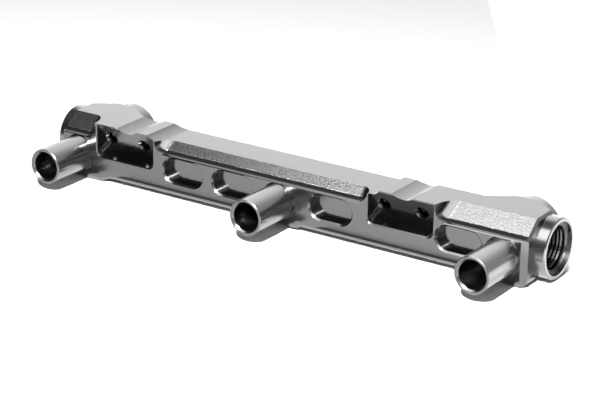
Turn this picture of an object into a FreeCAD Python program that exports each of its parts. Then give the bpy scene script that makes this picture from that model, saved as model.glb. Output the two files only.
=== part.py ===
import FreeCAD, Part
import os
from math import cos, sin, sqrt, tan, radians

Vector = FreeCAD.Vector

# Fuel rail body: one billet piece, lying on its underside.
# While it is built, y runs from the front face to the back and z from the floor up.
# The last step moves y so that the origin is under the middle of the piece.

# Overall body
HALF_BODY = 129.8
TOP_HIGH = 30.34
TOP_LOW = 27.7
BACK_TOP_Y = 23.0
BACK_Y = 31.5
BACK_SLOPE_DEG = 49.0
END_CHAMFER = 2.5
END_TOP_BEVEL = 1.1

# House-shaped backs of the end bosses, in plan
HOUSE_FOOT_Y = 23.5
HOUSE_HALF_TOP = 4.9
HOUSE_HALF_FOOT = 16.7
BACK_PORT_X = 113.5

# Underside levels, with the front lower edge rounded
FLOOR_MID = 2.3
FLOOR_BUMP = 1.1
FRONT_ROUND = 4.1
FOOT_INNER_X = 107.0
FOOT_RAMP = 6.5
FOOT_START_X = BACK_PORT_X - HOUSE_HALF_TOP
BUMP_HALF = 9.0

# Gallery and ports
PORT_Z = 14.95
GALLERY_Y = 20.0
GALLERY_R = 8.5
PORT_R = 14.25
PORT_RIM = 0.5
END_PORT_X = 136.0
BACK_PORT_Y = 39.3
SEAT_R = 12.4
SEAT_DEPTH = 2.7
SEAT_TAPER = 0.3
PORT_THREAD_R = 10.3
END_THREAD_END_X = 124.2
BACK_THREAD_END_Y = 26.0
BACK_PASSAGE_R = 7.5

# Injector cups
CUP_PITCH = 118.0
CUP_Z = 13.6
CUP_REACH = 26.7
CUP_R = 8.65
CUP_ROOT_BEVEL = 0.6
CUP_BORE_R = 6.75
CUP_BORE_DEPTH = 20.0
CUP_LEAD = 0.8
CUP_RIM = 0.25
CUP_PASSAGE_R = 4.5

# Bracket windows, cut along a tilted tool axis
WINDOW_TILT_DEG = 22.5
WINDOW_WIDTH = 34.2
WINDOW_CENTRES = (-90.1, 65.8)
WINDOW_EDGE_Y = 0.25
WINDOW_LIP_Z = 13.8
WINDOW_CORNER_R = 2.75
WINDOW_BEVEL = 0.5
WINDOW_START = 6.0
WINDOW_HALF_PITCH = 10.0
WINDOW_HOLE_DOWN = 7.6
SCREW_R = 2.5
SCREW_DEPTH = 9.0
SCREW_CHAMFER_R = 3.55

# Blind slots in the front face
SLOT_CENTRES = (-55.15, -26.15, 28.8, 96.2)
SLOT_LENGTH = 24.5
SLOT_Z = 15.55
SLOT_OUTER_R = 6.75
SLOT_CHAMFER = 0.8
SLOT_DEPTH = 5.0

# Hollows milled across the top: ends, deepest run and depth
LEFT_HOLLOW = (-95.1, -88.0, -83.0, 2.1)
RIGHT_HOLLOW = (60.7, 67.8, 72.5, 1.8)
LOW_TOP_ENDS = (-76.8, 54.35)
LOW_TOP_FLAT = (-69.5, 50.6)
HOLLOW_SAG = 0.26

# Rebates along the front upper edge
LEDGE_Z = 22.7
SLOPE_DEG = 40.9
SLOPE_TOP_Y = 11.2
REBATE_COVE_R = 6.0
REBATE_SKEW_DEG = 11.0
REBATE_ENDS = (-108.3, -72.3, 48.6, 83.7)
EDGE_BEVEL = 0.4


def point(pair, x=0.0):
    return Vector(x, pair[0], pair[1])


def yz_prism(outline, x_start, x_end):
    """Solid with the (y, z) outline, from x_start to x_end."""
    corners = [Vector(x_start, y, z) for y, z in outline]
    face = Part.Face(Part.makePolygon(corners + corners[:1]))
    return face.extrude(Vector(x_end - x_start, 0, 0))


def xy_prism(outline, z_start, z_end):
    """Solid with the (x, y) outline, from z_start to z_end."""
    corners = [Vector(x, y, z_start) for x, y in outline]
    face = Part.Face(Part.makePolygon(corners + corners[:1]))
    return face.extrude(Vector(0, 0, z_end - z_start))


def rod(radius, start, end):
    along = end - start
    return Part.makeCylinder(radius, along.Length, start, along)


def taper(radius_start, radius_end, start, end):
    along = end - start
    return Part.makeCone(radius_start, radius_end, along.Length, start, along)


def body_section(x, floor):
    """Outline of the body across its length, as a wire at x."""
    slope = tan(radians(BACK_SLOPE_DEG))
    drop = (BACK_Y - BACK_TOP_Y) * slope
    upper_back = TOP_HIGH - drop
    lower_back = 2 * PORT_Z - upper_back
    foot_y = BACK_Y - (lower_back - floor) / slope
    r = FRONT_ROUND
    mid = r * (1 - cos(radians(45)))
    ring = [
        (0.0, floor + r),
        (0.0, TOP_HIGH),
        (BACK_TOP_Y, TOP_HIGH),
        (BACK_Y, upper_back),
        (BACK_Y, lower_back),
        (foot_y, floor),
        (r, floor),
    ]
    pts = [point(p, x) for p in ring]
    edges = [Part.LineSegment(a, b).toShape() for a, b in zip(pts, pts[1:])]
    edges.append(Part.Arc(pts[-1], point((mid, floor + mid), x), pts[0]).toShape())
    return Part.Wire(edges)


def body_block():
    ramp_end = FOOT_INNER_X - FOOT_RAMP
    bump_end = BUMP_HALF + 2.0
    right = [
        (BUMP_HALF, FLOOR_BUMP),
        (bump_end, FLOOR_MID),
        (ramp_end, FLOOR_MID),
        (FOOT_INNER_X, 0.0),
        (FOOT_START_X, 0.0),
    ]
    left = [(-x, floor) for x, floor in reversed(right)]
    wires = [body_section(x, floor) for x, floor in left + right]
    return Part.makeLoft(wires, True, True)


def top_spot(pair):
    return Vector(pair[0], -2.0, pair[1])


def sweep(start, end):
    """Arc between two spots of the top, sagging below the straight line."""
    low = min(start[1], end[1])
    drop = abs(start[1] - end[1])
    middle = ((start[0] + end[0]) / 2, low + drop * HOLLOW_SAG)
    return Part.Arc(top_spot(start), top_spot(middle), top_spot(end)).toShape()


def across_top(floor_edges, start, end):
    """Cutter over the whole depth of the body, its floor given by edges in the (x, z) plane."""
    above = TOP_HIGH + 1.0
    lid = [start, (start[0], above), (end[0], above), end]
    pts = [top_spot(p) for p in lid]
    edges = floor_edges + [Part.LineSegment(a, b).toShape() for a, b in zip(pts, pts[1:])]
    ring = Part.Wire(Part.sortEdges(edges)[0])
    return Part.Face(ring).extrude(Vector(0, BACK_Y + 20.0, 0))


def hollow(start_x, deep_x, end_x, depth):
    start, deep, end = (start_x, TOP_HIGH), (deep_x, TOP_HIGH - depth), (end_x, TOP_HIGH)
    return across_top([sweep(start, deep), sweep(deep, end)], start, end)


def top_cut():
    """What is milled off the top: the low middle and the two hollows beside the raised pads."""
    start, end = [(x, TOP_HIGH) for x in LOW_TOP_ENDS]
    flat_start, flat_end = [(x, TOP_LOW) for x in LOW_TOP_FLAT]
    flat = Part.LineSegment(top_spot(flat_start), top_spot(flat_end)).toShape()
    middle = across_top([sweep(start, flat_start), flat, sweep(flat_end, end)], start, end)
    return [hollow(*LEFT_HOLLOW), middle, hollow(*RIGHT_HOLLOW)]


def on_end_face(edge, side):
    """True where both ends of the edge lie in the body's end face on that side."""
    spots = (edge.firstVertex().Point, edge.lastVertex().Point)
    return min(side * spot.x for spot in spots) > HALF_BODY - 0.001


def foot(side, rebate_cut):
    """End boss: chamfered front corner, gabled back in plan, rounded lower and bevelled upper edges."""
    middle = BACK_PORT_X
    outline = [
        (FOOT_START_X, 0.0),
        (HALF_BODY - END_CHAMFER, 0.0),
        (HALF_BODY, END_CHAMFER),
        (HALF_BODY, HOUSE_FOOT_Y),
        (middle + HOUSE_HALF_TOP, BACK_Y),
        (middle - HOUSE_HALF_TOP, BACK_Y),
        (middle - HOUSE_HALF_FOOT, HOUSE_FOOT_Y),
        (middle - HOUSE_HALF_FOOT, 10.0),
        (FOOT_START_X, 10.0),
    ]
    block = xy_prism([(side * x, y) for x, y in outline], 0.0, TOP_HIGH)
    low = []
    for edge in block.Edges:
        box = edge.BoundBox
        front = box.YMax < END_CHAMFER + 0.001
        if box.ZMax < 0.001 and (front or on_end_face(edge, side)):
            low.append(edge)
    most = 0.98 * END_CHAMFER / (sqrt(2) * tan(radians(22.5)))
    block = block.makeFillet(min(FRONT_ROUND, most), low).cut(rebate_cut)
    upper = []
    for edge in block.Edges:
        a, b = edge.firstVertex().Point, edge.lastVertex().Point
        above = min(a.z, b.z) > LEDGE_Z and abs(a.y - b.y) > 0.001
        if above and on_end_face(edge, side):
            upper.append(edge)
    return block.makeChamfer(END_TOP_BEVEL, upper)


def port_barrels(side):
    inner = Vector(side * BACK_PORT_X, GALLERY_Y, PORT_Z)
    end_mouth = Vector(side * END_PORT_X, GALLERY_Y, PORT_Z)
    back_mouth = Vector(side * BACK_PORT_X, BACK_PORT_Y, PORT_Z)
    barrels = []
    for mouth in (end_mouth, back_mouth):
        out = (mouth - inner).normalize()
        collar = mouth - out * PORT_RIM
        barrels.append(rod(PORT_R, inner, collar))
        barrels.append(taper(PORT_R, PORT_R - PORT_RIM, collar, mouth))
    return barrels


def port_bores(side):
    end_mouth = Vector(side * END_PORT_X, GALLERY_Y, PORT_Z)
    end_seat = end_mouth - Vector(side * SEAT_DEPTH, 0, 0)
    end_thread = Vector(side * END_THREAD_END_X, GALLERY_Y, PORT_Z)
    back_mouth = Vector(side * BACK_PORT_X, BACK_PORT_Y, PORT_Z)
    back_seat = back_mouth - Vector(0, SEAT_DEPTH, 0)
    back_thread = Vector(side * BACK_PORT_X, BACK_THREAD_END_Y, PORT_Z)
    back_inner = Vector(side * BACK_PORT_X, GALLERY_Y, PORT_Z)
    return [
        taper(SEAT_R, SEAT_R - SEAT_TAPER, end_mouth, end_seat),
        rod(PORT_THREAD_R, end_seat, end_thread),
        taper(SEAT_R, SEAT_R - SEAT_TAPER, back_mouth, back_seat),
        rod(PORT_THREAD_R, back_seat, back_thread),
        rod(BACK_PASSAGE_R, back_thread, back_inner),
    ]


def cup(x):
    """Injector cup on the front face, with a small bevel at its root."""
    root = CUP_R + CUP_ROOT_BEVEL
    outline = [
        (0.0, 4.0),
        (root, 4.0),
        (root, 0.0),
        (CUP_R, -CUP_ROOT_BEVEL),
        (CUP_R, -CUP_REACH + CUP_RIM),
        (CUP_R - CUP_RIM, -CUP_REACH),
        (0.0, -CUP_REACH),
    ]
    pts = [Vector(x + r, y, CUP_Z) for r, y in outline]
    face = Part.Face(Part.makePolygon(pts + pts[:1]))
    return face.revolve(Vector(x, 0, CUP_Z), Vector(0, 1, 0), 360)


def cup_bore(x):
    mouth = Vector(x, -CUP_REACH, CUP_Z)
    lead = Vector(x, -CUP_REACH + CUP_LEAD, CUP_Z)
    deep = Vector(x, -CUP_REACH + CUP_BORE_DEPTH, CUP_Z)
    seat = Vector(x, deep.y + CUP_BORE_R - CUP_PASSAGE_R, CUP_Z)
    inner = Vector(x, GALLERY_Y, CUP_Z)
    return [
        taper(CUP_BORE_R + CUP_LEAD, CUP_BORE_R, mouth, lead),
        rod(CUP_BORE_R, lead, deep),
        taper(CUP_BORE_R, CUP_PASSAGE_R, deep, seat),
        rod(CUP_PASSAGE_R, seat, inner),
    ]


def open_pocket_wire(centre, half, low, r, y):
    """Outline in the front plane: flat bottom, rounded lower corners, sides up past the top."""
    turn = r * (1 - cos(radians(45)))
    top = TOP_HIGH + 6.0

    def spot(across, z):
        return Vector(centre + across, y, z)

    ring = [
        Part.Arc(spot(-half, low + r), spot(-half + turn, low + turn), spot(-half + r, low)),
        Part.LineSegment(spot(-half + r, low), spot(half - r, low)),
        Part.Arc(spot(half - r, low), spot(half - turn, low + turn), spot(half, low + r)),
        Part.LineSegment(spot(half, low + r), spot(half, top)),
        Part.LineSegment(spot(half, top), spot(-half, top)),
        Part.LineSegment(spot(-half, top), spot(-half, low + r)),
    ]
    return Part.Wire([curve.toShape() for curve in ring])


def window_bevel(centre):
    """Bevel round a window where it opens in the front face."""
    c = WINDOW_BEVEL
    half = WINDOW_WIDTH / 2
    r = WINDOW_CORNER_R
    deep_lip = WINDOW_LIP_Z + c * tan(radians(WINDOW_TILT_DEG))
    outer = open_pocket_wire(centre, half + c, WINDOW_LIP_Z - c, r + c, 0.0)
    inner = open_pocket_wire(centre, half, deep_lip, r, c)
    return Part.makeLoft([outer, inner], True, True)


def window(centre):
    """Tilted bracket pad: a pocket milled square to the leaning pad, with its two tapped holes."""
    tilt = radians(WINDOW_TILT_DEG)
    into = Vector(0, cos(tilt), sin(tilt))
    up = Vector(0, -sin(tilt), cos(tilt))
    top_edge = Vector(centre, WINDOW_EDGE_Y, TOP_HIGH)
    start_low = WINDOW_LIP_Z - WINDOW_START * tan(tilt)
    outline = open_pocket_wire(centre, WINDOW_WIDTH / 2, start_low, WINDOW_CORNER_R, -WINDOW_START)
    pocket = Part.Face(outline).extrude(into * 25.0)
    tools = [pocket.cut(beyond(top_edge, into)), window_bevel(centre)]
    for sign in (-1, 1):
        mouth = top_edge - up * WINDOW_HOLE_DOWN + Vector(sign * WINDOW_HALF_PITCH, 0, 0)
        flare = SCREW_CHAMFER_R - SCREW_R
        end = mouth + into * SCREW_DEPTH
        tip = end + into * (SCREW_R * tan(radians(31)))
        tools.append(rod(SCREW_R, mouth - into, end))
        tools.append(taper(SCREW_CHAMFER_R, SCREW_R, mouth, mouth + into * flare))
        tools.append(taper(SCREW_R, 0.0, end, tip))
    return tools


def obround(centre, radius, y):
    half = SLOT_LENGTH / 2 - SLOT_OUTER_R
    a = Vector(centre - half, y, SLOT_Z - radius)
    b = Vector(centre + half, y, SLOT_Z - radius)
    c = Vector(centre + half + radius, y, SLOT_Z)
    d = Vector(centre + half, y, SLOT_Z + radius)
    e = Vector(centre - half, y, SLOT_Z + radius)
    f = Vector(centre - half - radius, y, SLOT_Z)
    edges = [Part.LineSegment(a, b).toShape(), Part.Arc(b, c, d).toShape()]
    edges += [Part.LineSegment(d, e).toShape(), Part.Arc(e, f, a).toShape()]
    return Part.Wire(edges)


def slot(centre):
    inner = SLOT_OUTER_R - SLOT_CHAMFER
    straight = Part.Face(obround(centre, inner, -1.0)).extrude(Vector(0, SLOT_DEPTH + 1.0, 0))
    flare = Part.makeLoft([obround(centre, SLOT_OUTER_R, 0.0), obround(centre, inner, SLOT_CHAMFER)], True, True)
    return [straight, flare]


def beyond(spot, outward):
    """Large block on the outward side of the plane through spot."""
    return Part.makeCylinder(700, 300, spot, outward)


def skewed_ring(outline, x, turn):
    """The (y, z) outline as points on an upright plane through x, skewed in plan; turn is -1, 0 or 1."""
    skew = turn * tan(radians(REBATE_SKEW_DEG))
    ring = [Vector(x + skew * y, y, z) for y, z in outline]
    return ring + ring[:1]


def rebate(start, end):
    """Slope along the front upper edge with a round cove at its foot and ends; start and end are (x, turn)."""
    slope = tan(radians(SLOPE_DEG))
    reach = SLOPE_TOP_Y + 3.0 / slope
    foot_y = SLOPE_TOP_Y - (TOP_HIGH - LEDGE_Z) / slope
    outline = [(-6.0, LEDGE_Z), (foot_y, LEDGE_Z), (reach, TOP_HIGH + 3.0), (-6.0, TOP_HIGH + 3.0)]
    wires = [Part.makePolygon(skewed_ring(outline, x, turn)) for x, turn in (start, end)]
    cutter = Part.makeLoft(wires, True, True)
    closed = [x for x, turn in (start, end) if turn]
    rounded = []
    for edge in cutter.Edges:
        a, b = edge.firstVertex().Point, edge.lastVertex().Point
        at_end = abs(a.x - b.x) < 10.0
        middle = (a.x + b.x) / 2
        at_closed_end = at_end and min(abs(middle - x) for x in closed) < 10.0
        low = min(a.z, b.z) < LEDGE_Z + 0.001
        inner = max(a.y, b.y) > -5.9
        if low and inner and (at_closed_end or not at_end):
            rounded.append(edge)
    return cutter.makeFillet(REBATE_COVE_R, rounded)


def rebates():
    far = HALF_BODY + 8.0
    left_end, middle_start, middle_end, right_start = REBATE_ENDS
    return [
        rebate((-far, 0), (left_end, -1)),
        rebate((middle_start, 1), (middle_end, -1)),
        rebate((right_start, 1), (far, 0)),
    ]


def ledge_edges():
    """Fine bevel along the front edge of each ledge."""
    c = EDGE_BEVEL
    outline = [(-1.0, LEDGE_Z - c - 1.0), (c + 1.0, LEDGE_Z + 1.0), (-1.0, LEDGE_Z + 1.0)]
    far = HALF_BODY + 2.0
    runs = [(-far, -110.5), (-67.0, 44.5), (88.5, far)]
    return [yz_prism(outline, a, b) for a, b in runs]


def build():
    body = body_block()
    rebate_cuts = rebates()
    body = body.fuse([foot(-1, rebate_cuts[0]), foot(1, rebate_cuts[-1])])
    body = body.fuse(port_barrels(-1) + port_barrels(1))
    body = body.fuse([cup(n * CUP_PITCH) for n in (-1, 0, 1)])
    cuts = top_cut() + rebate_cuts + ledge_edges()
    return body, cuts


body, cuts = build()
body = body.cut(cuts)
tools = []
tools.append(rod(GALLERY_R, Vector(-END_PORT_X, GALLERY_Y, PORT_Z), Vector(END_PORT_X, GALLERY_Y, PORT_Z)))
for side in (-1, 1):
    tools += port_bores(side)
for n in (-1, 0, 1):
    tools += cup_bore(n * CUP_PITCH)
for centre in WINDOW_CENTRES:
    tools += window(centre)
for centre in SLOT_CENTRES:
    tools += slot(centre)
body = body.cut(tools)
body = body.removeSplitter()
body.translate(Vector(0, -(BACK_PORT_Y - CUP_REACH) / 2, 0))
print(body.isValid(), len(body.Solids), body.Volume, body.BoundBox)
os.makedirs("parts", exist_ok=True)
body.Solids[0].exportStep("parts/rail_body.step")
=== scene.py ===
from math import cos, pi, radians, sin

import bmesh
import bpy
from mathutils import Matrix, Vector


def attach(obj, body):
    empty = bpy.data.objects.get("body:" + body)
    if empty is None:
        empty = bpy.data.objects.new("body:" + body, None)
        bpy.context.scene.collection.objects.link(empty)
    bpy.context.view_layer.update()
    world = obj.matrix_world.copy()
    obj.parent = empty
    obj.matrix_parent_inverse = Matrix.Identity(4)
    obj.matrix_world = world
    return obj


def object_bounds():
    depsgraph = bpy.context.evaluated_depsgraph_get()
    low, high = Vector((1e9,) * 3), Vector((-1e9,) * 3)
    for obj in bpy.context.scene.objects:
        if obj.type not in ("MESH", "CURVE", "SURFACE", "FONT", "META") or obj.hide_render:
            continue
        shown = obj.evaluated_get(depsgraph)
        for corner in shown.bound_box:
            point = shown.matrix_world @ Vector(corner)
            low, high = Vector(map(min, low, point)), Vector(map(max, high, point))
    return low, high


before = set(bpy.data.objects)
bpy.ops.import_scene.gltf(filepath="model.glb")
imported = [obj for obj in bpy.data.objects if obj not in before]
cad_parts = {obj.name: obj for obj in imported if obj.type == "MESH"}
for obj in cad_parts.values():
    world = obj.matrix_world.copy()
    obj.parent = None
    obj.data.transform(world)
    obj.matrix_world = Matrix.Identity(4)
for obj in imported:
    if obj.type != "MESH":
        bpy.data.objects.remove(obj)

low_corner, high_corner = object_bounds()
MM = 0.001

# Camera: where the rail is seen from, and the lens
AIM = Vector((2.62, 8.49, 10.22)) * MM
AZIMUTH = 33.303
ELEVATION = 20.561
ROLL = 0.875
DISTANCE = 1.01315
SENSOR = 36.0
LENS = 129.24
CLIP_NEAR = 0.05
CLIP_FAR = 30.0

# Finish of the metal
ANODISED = (0.140, 0.139, 0.140, 1.0)
CUT_BRIGHT = (0.220, 0.218, 0.220, 1.0)
FLAT_ROUGHNESS = 0.17
TURNED_ROUGHNESS = 0.22
MILLED_ROUGHNESS = 0.27

# Steps from the anodised colour towards the bright one, where 1 is all the way and below 0 is
# darker; the dark step is painted shade
PAINTED_SHADE_SHARE = -1.4
SPECKLE_SHARE = 4.0
FAINT_SPECKLE_SHARE = 2.2

# How much of the painted shade step the cups' mouths and the slots' walls take
MOUTH_PAINTED_SHADE = 0.6
SLOT_PAINTED_SHADE = 0.6

# Grain that the cutter leaves on the sloped rebates, fainter on the one near the right end
GRAIN_SCALE = 1300.0
GRAIN_DETAIL = 1.0
CUT_HEIGHT = 2.0
SKIN_HEIGHT = 0.05
FAINT_CUT_FROM_X = 75.0
FAINT_CUT_HEIGHT = 0.5
BUMP_STRENGTH = 0.35
BUMP_DISTANCE = 0.0002

# Overhead board, in metres
BOARD_LEFT = -0.345
BOARD_RIGHT = 0.60
BOARD_FRONT = -0.45
BOARD_BACK = -0.05
BOARD_HIGH = 0.40
BOARD_FADE_START = -0.33
BOARD_FADE_END = -0.09
BOARD_GLOW = 4.3

# Dark strips lying between the cups, which the metal mirrors as painted shade on the floor near the
# rail, in metres: left and right ends, then front and back
STRIP_SPANS = ((-0.099, -0.010), (0.018, 0.105))
STRIP_FRONT = -0.0245
STRIP_BACK = -0.0085
STRIP_FADE_START = 0.0175
STRIP_FADE_END = 0.0240
STRIP_HIGH = 0.0001
STRIP_PAINTED_SHADE = 0.28
STRIP_LIGHT = 1.80

# Floor, in metres: painted light beyond the right end, brighter as if lit from there too, which
# washes out the port's shadow
FLOOR_SIZE = 12.0
FLOOR_DROP = 0.00002
FLOOR_FADE_START = 0.125
FLOOR_FADE_END = 0.131
FLOOR_GLOW = 1.2
FLOOR_FILL = 0.03
PAPER = (0.92, 0.92, 0.92, 1.0)
PAPER_ROUGHNESS = 0.9
PAPER_SPECULAR = 0.1

# Key lamp, in metres and watts
KEY_PLACE = Vector((0.293, -0.765, 0.779))
KEY_SIZE = 0.022
KEY_POWER = 127.0

# Colour of the light from the sheets and the sky
WHITE = (1.0, 1.0, 1.0, 1.0)

# What the metal mirrors beyond the floor and board: brightness, and spans of the ray's direction
WALL_GLOW = 2.33
WALL_DROP = 1.55
WALL_SPAN_X = (-0.25, 0.50)
BEHIND_SPAN_Y = (0.35, 0.80)
ABOVE_GLOW = 0.15
ABOVE_SPAN_Z = (0.50, 0.90)
RIGHT_GLOW = 0.8
RIGHT_SPAN_X = (0.15, 0.60)
RIGHT_SPAN_FORWARD = (0.30, 0.65)
SIDE_GLOW = 0.9
SIDE_SPAN_X = (0.45, 0.75)
SIDE_SPAN_Z = (0.30, 0.60)
LEAST_GLOW = 0.05
MATT_FILL = 0.10

# Sloped rebates, in the frame's millimetres: upper edge, lowest level and steepness
SLOPE_TOP_Y = 4.9
SLOPE_TOP_Z = 30.34
SLOPE_LOW_Z = 24.1
SLOPE_DEG = 40.9
SLOPE_BAND = 0.12
SLOPE_TOP_GAP = 0.02

# Slots in the front face, in the frame's millimetres
SLOT_CENTRES = (-55.15, -26.15, 28.8, 96.2)
SLOT_HALF = 11.7
SLOT_AXIS_Z = 15.55
SLOT_HALF_HIGH = 6.1
SLOT_FROM_Y = -5.4
SLOT_TO_Y = -1.35
SLOT_FADE_FROM = 4.5
SLOT_FADE_TO = 2.0

# Port threads, in millimetres
PORT_AXIS_Y = 13.7
PORT_AXIS_Z = 14.95
END_THREAD_X = 133.3
END_THREAD_LENGTH = 9.1
BACK_PORT_X = 113.5
BACK_THREAD_Y = 30.3
BACK_THREAD_LENGTH = 10.6
PORT_THREAD_R = 10.3
PORT_THREAD_PITCH = 25.4 / 14
PORT_THREAD_DEPTH = 0.35
PORT_WALL_MARGIN = 0.6
PORT_WALL_PAST = 4.0

# Where the turned cups and port bosses begin, in millimetres
CUPS_FROM_Y = -6.35
CUP_RIMS_Y = -32.95
CUP_ROOTS_Y = -6.95
CUP_CENTRES = (-118.0, 0.0, 118.0)
CUP_AXIS_Z = 13.6
CUP_LEAD_R = 7.5
CUP_LEAD_Y = -31.9
PORTS_FROM_X = 129.85
PORTS_FROM_Y = 25.3

# Tapped holes in the leaning bracket pads, in millimetres
PAD_CENTRES = (-90.1, 65.8)
PAD_TILT_DEG = 22.5
PAD_TOP_Y = -6.05
PAD_TOP_Z = 30.34
HOLE_DOWN = 7.6
HOLE_HALF_PITCH = 10.0
HOLE_R = 2.5
HOLE_FLARE = 2.6
HOLE_LIP = 0.35
HOLE_TOP_GAP = 1.0
HOLE_THREAD_LENGTH = 6.3
HOLE_THREAD_PITCH = 1.0
HOLE_THREAD_DEPTH = 0.3

# Ridge of a thread: steps to a turn, millimetres sunk into the wall, then shares of the pitch
THREAD_STEPS = 48
THREAD_OVERLAP = 0.05
THREAD_CREST = 0.45
THREAD_FOOT = 0.9


class Sock:
    """A shader socket that takes part in arithmetic."""

    def __init__(self, maker, socket):
        self.maker = maker
        self.socket = socket

    def _math(self, operation, a, b):
        return self.maker.node("ShaderNodeMath", {"operation": operation}, {0: a, 1: b})

    def __add__(self, other):
        return self._math("ADD", self, other)

    __radd__ = __add__

    def __sub__(self, other):
        return self._math("SUBTRACT", self, other)

    def __rsub__(self, other):
        return self._math("SUBTRACT", other, self)

    def __mul__(self, other):
        return self._math("MULTIPLY", self, other)

    __rmul__ = __mul__

    def __truediv__(self, other):
        return self._math("DIVIDE", self, other)

    def above(self, edge):
        return self._math("GREATER_THAN", self, edge)

    def below(self, edge):
        return self._math("LESS_THAN", self, edge)


class Maker:
    """Makes the nodes of one node tree."""

    def __init__(self, tree):
        self.tree = tree
        tree.nodes.clear()

    def node(self, kind, settings=None, values=None, out=0):
        made = self.tree.nodes.new(kind)
        for name, value in (settings or {}).items():
            setattr(made, name, value)
        for key, value in (values or {}).items():
            target = made.inputs[key]
            if isinstance(value, Sock):
                self.tree.links.new(value.socket, target)
            else:
                target.default_value = value
        if not made.outputs:
            return made
        return Sock(self, made.outputs[out])

    def parts(self, vector):
        split = self.node("ShaderNodeSeparateXYZ", {}, {0: vector})
        outs = split.socket.node.outputs
        return [Sock(self, outs[n]) for n in range(3)]


def new_material(name):
    material = bpy.data.materials.new(name)
    material.use_nodes = True
    return material, Maker(material.node_tree)


def smooth(m, value, start, end):
    """Zero at start, one at end, with a soft rise between them."""
    return m.node(
        "ShaderNodeMapRange",
        {"interpolation_type": "SMOOTHSTEP"},
        {"Value": value, "From Min": start, "From Max": end, "To Min": 0.0, "To Max": 1.0},
    )


def hole_walls(x, y, z):
    """One inside the tapped holes of the bracket pads, zero elsewhere; painted shade darkens the
    metal there.
    """
    tilt = radians(PAD_TILT_DEG)
    depth = (y - PAD_TOP_Y) * cos(tilt) + (z - PAD_TOP_Z) * sin(tilt)
    out_up = (z - PAD_TOP_Z) * cos(tilt) - (y - PAD_TOP_Y) * sin(tilt) + HOLE_DOWN
    reach = HOLE_R + HOLE_FLARE / 2
    within = 0.0
    for centre in PAD_CENTRES:
        for sign in (-1, 1):
            out_x = x - (centre + sign * HOLE_HALF_PITCH)
            within = (out_x * out_x + out_up * out_up).below(reach ** 2) + within
    within *= depth.above(HOLE_LIP) * depth.below(HOLE_FLARE + HOLE_THREAD_LENGTH)
    return within * z.below(PAD_TOP_Z - HOLE_TOP_GAP)


def mouths(x, y, z):
    """One on the lead-in just inside the mouths of the cups, zero elsewhere; painted shade there
    dims the lead-in's glint.
    """
    within = 0.0
    for centre in CUP_CENTRES:
        out_x = x - centre
        out_z = z - CUP_AXIS_Z
        within = (out_x * out_x + out_z * out_z).below(CUP_LEAD_R ** 2) + within
    return within * y.below(CUP_LEAD_Y)


def slot_walls(m, x, y, z):
    """One on the walls of the slots, fading to zero on their lower stretch; painted shade darkens
    the metal there.
    """
    within = 0.0
    for centre in SLOT_CENTRES:
        within = x.above(centre - SLOT_HALF) * x.below(centre + SLOT_HALF) + within
    within *= y.above(SLOT_FROM_Y) * y.below(SLOT_TO_Y) * z.below(SLOT_AXIS_Z + SLOT_HALF_HIGH)
    return within * smooth(m, z, SLOT_AXIS_Z - SLOT_FADE_FROM, SLOT_AXIS_Z - SLOT_FADE_TO)


def port_walls(x, y, z):
    """One on the threads of the end ports, zero on the barrels around them; painted shade darkens
    the metal there.
    """
    out_y = y - PORT_AXIS_Y
    out_z = z - PORT_AXIS_Z
    within = (out_y * out_y + out_z * out_z).below((PORT_THREAD_R + PORT_WALL_MARGIN) ** 2)
    return within * (x * x).above((END_THREAD_X - END_THREAD_LENGTH - PORT_WALL_PAST) ** 2)


def sloped_faces(y, z):
    """One on the sloped faces of the rebates, zero elsewhere."""
    tilt = radians(SLOPE_DEG)
    off_slope = (z - SLOPE_TOP_Z) * cos(tilt) - (y - SLOPE_TOP_Y) * sin(tilt)
    on_slope = off_slope.above(-SLOPE_BAND) * off_slope.below(SLOPE_BAND)
    return on_slope * z.above(SLOPE_LOW_Z) * z.below(SLOPE_TOP_Z - SLOPE_TOP_GAP)


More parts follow.
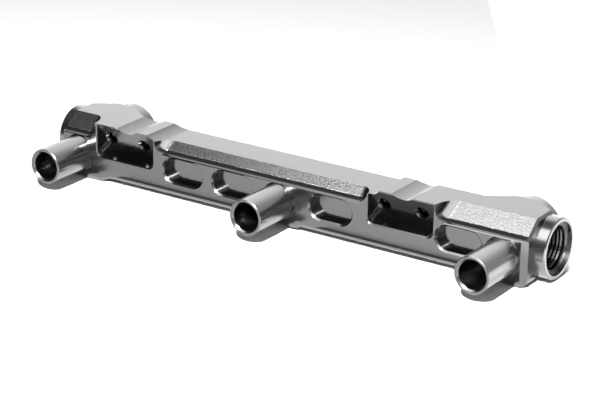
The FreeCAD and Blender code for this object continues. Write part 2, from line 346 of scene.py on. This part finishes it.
def anodising_with_painted_shade():
    """Glossy graphite anodising: brighter where turned or milled, with painted shade making it
    darker in holes and corners.
    """
    material, m = new_material("graphite_anodising_painted_shade")
    place = m.node("ShaderNodeTexCoord", out=3)
    x, y, z = [axis / MM for axis in m.parts(place)]
    milled = sloped_faces(y, z)
    grain = m.node(
        "ShaderNodeTexNoise", {}, {"Vector": place, "Scale": GRAIN_SCALE, "Detail": GRAIN_DETAIL}
    )
    faint = x.above(FAINT_CUT_FROM_X)
    speckle = faint * (FAINT_SPECKLE_SHARE - SPECKLE_SHARE) + SPECKLE_SHARE
    cut_share = faint * (FAINT_CUT_HEIGHT - 1.0) + 1.0
    height = milled * grain * cut_share * CUT_HEIGHT + grain * SKIN_HEIGHT
    bump = m.node(
        "ShaderNodeBump",
        {},
        {"Strength": BUMP_STRENGTH, "Distance": BUMP_DISTANCE, "Height": height},
    )
    ends = (x * x).above(PORTS_FROM_X ** 2)
    cups = y.below(CUP_ROOTS_Y) * y.above(CUP_RIMS_Y)
    # Painted shade on the bevel at the cups' roots
    roots = y.below(CUPS_FROM_Y) * y.above(CUP_ROOTS_Y)
    turned = cups + ends + y.above(PORTS_FROM_Y)
    # Painted shade: darker at the cups' roots and mouths, in the tapped holes, the port bores and on
    # the slot walls
    dark = roots + mouths(x, y, z) * MOUTH_PAINTED_SHADE
    dark += hole_walls(x, y, z) + port_walls(x, y, z)
    dark += slot_walls(m, x, y, z) * SLOT_PAINTED_SHADE
    rougher = milled * (MILLED_ROUGHNESS - FLAT_ROUGHNESS)
    rougher += turned * (TURNED_ROUGHNESS - FLAT_ROUGHNESS)
    roughness = rougher + FLAT_ROUGHNESS
    brighter = turned + milled * (1.0 + (grain - 0.5) * speckle) + dark * PAINTED_SHADE_SHARE
    colour = m.node(
        "ShaderNodeMix",
        {"data_type": "RGBA", "clamp_factor": False},
        {"Factor": brighter, 6: ANODISED, 7: CUT_BRIGHT},
        out=2,
    )
    shader = m.node(
        "ShaderNodeBsdfPrincipled",
        {},
        {"Base Color": colour, "Metallic": 1.0, "Roughness": roughness, "Normal": bump},
    )
    m.node("ShaderNodeOutputMaterial", {}, {"Surface": shader})
    return material


def floor_material():
    """White paper that keeps the rail's shadow, and glows beyond the rail's right end with painted
    light.
    """
    material, m = new_material("white_paper")
    place = m.node("ShaderNodeTexCoord", out=3)
    x, y = m.parts(place)[:2]
    beyond = x * cos(radians(AZIMUTH)) + y * sin(radians(AZIMUTH))
    light = smooth(m, beyond, FLOOR_FADE_START, FLOOR_FADE_END) * FLOOR_GLOW + FLOOR_FILL
    tint = m.node("ShaderNodeCombineXYZ", {}, {"X": light, "Y": light, "Z": light})
    shader = m.node(
        "ShaderNodeBsdfPrincipled",
        {},
        {
            "Base Color": PAPER,
            "Roughness": PAPER_ROUGHNESS,
            "Specular IOR Level": PAPER_SPECULAR,
            "Emission Color": tint,
            "Emission Strength": 1.0,
        },
    )
    m.node("ShaderNodeOutputMaterial", {}, {"Surface": shader})
    return material


def end_in_light(m, strength):
    """Closes a material as white light of this strength."""
    glow = m.node("ShaderNodeEmission", {}, {"Color": WHITE, "Strength": strength})
    m.node("ShaderNodeOutputMaterial", {}, {"Surface": glow})


def board_material():
    """Overhead board, fading out towards its left end."""
    material, m = new_material("board_over")
    place = m.node("ShaderNodeTexCoord", out=3)
    x = m.parts(place)[0]
    end_in_light(m, smooth(m, x, BOARD_FADE_START, BOARD_FADE_END) * BOARD_GLOW)
    return material


def mirrored_shade_material():
    """Painted shade seen in reflections: a dark sheet, fading into the white floor at its front
    edge.
    """
    material, m = new_material("mirrored_shade_strip")
    place = m.node("ShaderNodeTexCoord", out=3)
    y = m.parts(place)[1]
    lighter = smooth(m, 0.0 - y, STRIP_FADE_START, STRIP_FADE_END)
    end_in_light(m, lighter * (STRIP_LIGHT - STRIP_PAINTED_SHADE) + STRIP_PAINTED_SHADE)
    return material


def flat_sheet(name, size_x, size_y, centre, material):
    """Level sheet of the given sizes."""
    mesh = bpy.data.meshes.new(name)
    work = bmesh.new()
    bmesh.ops.create_grid(work, x_segments=1, y_segments=1, size=0.5)
    bmesh.ops.scale(work, vec=(size_x, size_y, 1.0), verts=work.verts)
    bmesh.ops.transform(work, matrix=Matrix.Translation(centre), verts=work.verts)
    work.to_mesh(mesh)
    work.free()
    sheet = bpy.data.objects.new(name, mesh)
    sheet.data.materials.append(material)
    bpy.context.scene.collection.objects.link(sheet)
    return sheet


def wind_thread(name, mouth, into, radius, length, pitch, depth, material):
    """Ridge of a screw thread wound on the wall of a bore; all sizes in millimetres."""
    mesh = bpy.data.meshes.new(name)
    work = bmesh.new()
    side = into.orthogonal().normalized()
    outer = radius + THREAD_OVERLAP
    crest = (THREAD_CREST * pitch, radius - depth)
    profile = [(0.0, outer), crest, (THREAD_FOOT * pitch, outer)]
    verts = [work.verts.new((mouth + into * along + side * out) * MM) for along, out in profile]
    edges = [work.edges.new(pair) for pair in zip(verts, verts[1:])]
    turns = length / pitch - 1.0
    steps = int(turns * THREAD_STEPS)
    bmesh.ops.spin(
        work,
        geom=verts + edges,
        cent=mouth * MM,
        axis=into,
        dvec=into * pitch * MM / THREAD_STEPS,
        angle=2 * pi * steps / THREAD_STEPS,
        steps=steps,
    )
    bmesh.ops.recalc_face_normals(work, faces=work.faces)
    work.to_mesh(mesh)
    work.free()
    ridge = bpy.data.objects.new(name, mesh)
    mesh.materials.append(material)
    bpy.context.scene.collection.objects.link(ridge)
    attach(ridge, "root")


def add_port_threads(material):
    cut = (PORT_THREAD_PITCH, PORT_THREAD_DEPTH, material)
    for word, side in (("left", -1), ("right", 1)):
        end = Vector((side * END_THREAD_X, PORT_AXIS_Y, PORT_AXIS_Z))
        back = Vector((side * BACK_PORT_X, BACK_THREAD_Y, PORT_AXIS_Z))
        inward = Vector((-side, 0, 0))
        forward = Vector((0, -1, 0))
        name = "thread_" + word
        wind_thread(name + "_end", end, inward, PORT_THREAD_R, END_THREAD_LENGTH, *cut)
        wind_thread(name + "_back", back, forward, PORT_THREAD_R, BACK_THREAD_LENGTH, *cut)


def add_hole_threads(material):
    tilt = radians(PAD_TILT_DEG)
    into = Vector((0, cos(tilt), sin(tilt)))
    up = Vector((0, -sin(tilt), cos(tilt)))
    cut = (HOLE_THREAD_PITCH, HOLE_THREAD_DEPTH, material)
    count = 0
    for centre in PAD_CENTRES:
        for sign in (-1, 1):
            count += 1
            on_pad = Vector((centre + sign * HOLE_HALF_PITCH, PAD_TOP_Y, PAD_TOP_Z))
            mouth = on_pad - up * HOLE_DOWN + into * HOLE_FLARE
            name = "thread_hole_" + str(count)
            wind_thread(name, mouth, into, HOLE_R, HOLE_THREAD_LENGTH, *cut)


def add_floor():
    centre = (0.0, 0.0, low_corner.z - FLOOR_DROP)
    flat_sheet("floor", FLOOR_SIZE, FLOOR_SIZE, centre, floor_material())


def add_panel(name, ends, depth, high, material):
    """Level panel that shows in mirrored rays alone: the camera and matt faces don't see it."""
    left, right = ends
    front, back = depth
    centre = ((left + right) / 2, (front + back) / 2, high)
    panel = flat_sheet(name, right - left, back - front, centre, material)
    panel.visible_camera = False
    panel.visible_diffuse = False
    panel.visible_shadow = False
    panel.visible_transmission = False


def add_panels():
    """Board above the rail and strips in front of it, which its faces mirror; the strips are painted
    shade on the mirrored floor.
    """
    ends = (BOARD_LEFT, BOARD_RIGHT)
    add_panel("board_over", ends, (BOARD_FRONT, BOARD_BACK), BOARD_HIGH, board_material())
    shade_strips = mirrored_shade_material()
    for number, ends in enumerate(STRIP_SPANS, 1):
        name = "mirrored_shade_strip_" + str(number)
        add_panel(name, ends, (STRIP_FRONT, STRIP_BACK), STRIP_HIGH, shade_strips)


def sky():
    """White to the camera, faint on matt faces, and in the metal a bright wall and softer sides."""
    world = bpy.data.worlds.new("studio")
    bpy.context.scene.world = world
    world.use_nodes = True
    m = Maker(world.node_tree)
    rays = m.node("ShaderNodeLightPath")
    outs = rays.socket.node.outputs
    seen = Sock(m, outs["Is Camera Ray"])
    mirrored = Sock(m, outs["Is Glossy Ray"])
    way = m.node("ShaderNodeTexCoord", out=0)
    x, y, z = m.parts(way)
    wall = WALL_GLOW - WALL_DROP * smooth(m, x, *WALL_SPAN_X)
    behind = smooth(m, y, *BEHIND_SPAN_Y)
    above = smooth(m, z, *ABOVE_SPAN_Z) * ABOVE_GLOW
    right = smooth(m, x, *RIGHT_SPAN_X) * smooth(m, 0.0 - y, *RIGHT_SPAN_FORWARD) * RIGHT_GLOW
    side = smooth(m, x, *SIDE_SPAN_X) * smooth(m, z, *SIDE_SPAN_Z) * SIDE_GLOW
    mirror = behind * wall + above + right + side + LEAST_GLOW
    unseen = mirrored * mirror + (1 - mirrored) * MATT_FILL
    strength = seen + (1 - seen) * unseen
    glow = m.node("ShaderNodeBackground", {}, {"Color": WHITE, "Strength": strength})
    m.node("ShaderNodeOutputWorld", {}, {"Surface": glow})


def add_key():
    """One hard lamp, high at the front right, that throws the cups' shadows."""
    lamp = bpy.data.lights.new("key", "POINT")
    lamp.energy = KEY_POWER
    lamp.shadow_soft_size = KEY_SIZE
    key = bpy.data.objects.new("key", lamp)
    key.location = KEY_PLACE
    bpy.context.scene.collection.objects.link(key)


def add_camera():
    lens = bpy.data.cameras.new("camera")
    lens.sensor_width = SENSOR
    lens.lens = LENS
    lens.clip_start = CLIP_NEAR
    lens.clip_end = CLIP_FAR
    camera = bpy.data.objects.new("camera", lens)
    az = radians(AZIMUTH)
    el = radians(ELEVATION)
    back = Vector((sin(az) * cos(el), -cos(az) * cos(el), sin(el)))
    camera.location = AIM + back * DISTANCE
    camera.rotation_mode = "QUATERNION"
    level = back.to_track_quat("Z", "Y")
    camera.rotation_quaternion = level @ Matrix.Rotation(radians(ROLL), 3, "Z").to_quaternion()
    bpy.context.scene.collection.objects.link(camera)
    bpy.context.scene.camera = camera


bpy.context.scene.view_settings.view_transform = "Standard"
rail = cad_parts["rail_body"]
rail.data.materials.clear()
billet = anodising_with_painted_shade()
rail.data.materials.append(billet)
add_port_threads(billet)
add_hole_threads(billet)
add_floor()
add_panels()
sky()
add_key()
add_camera()
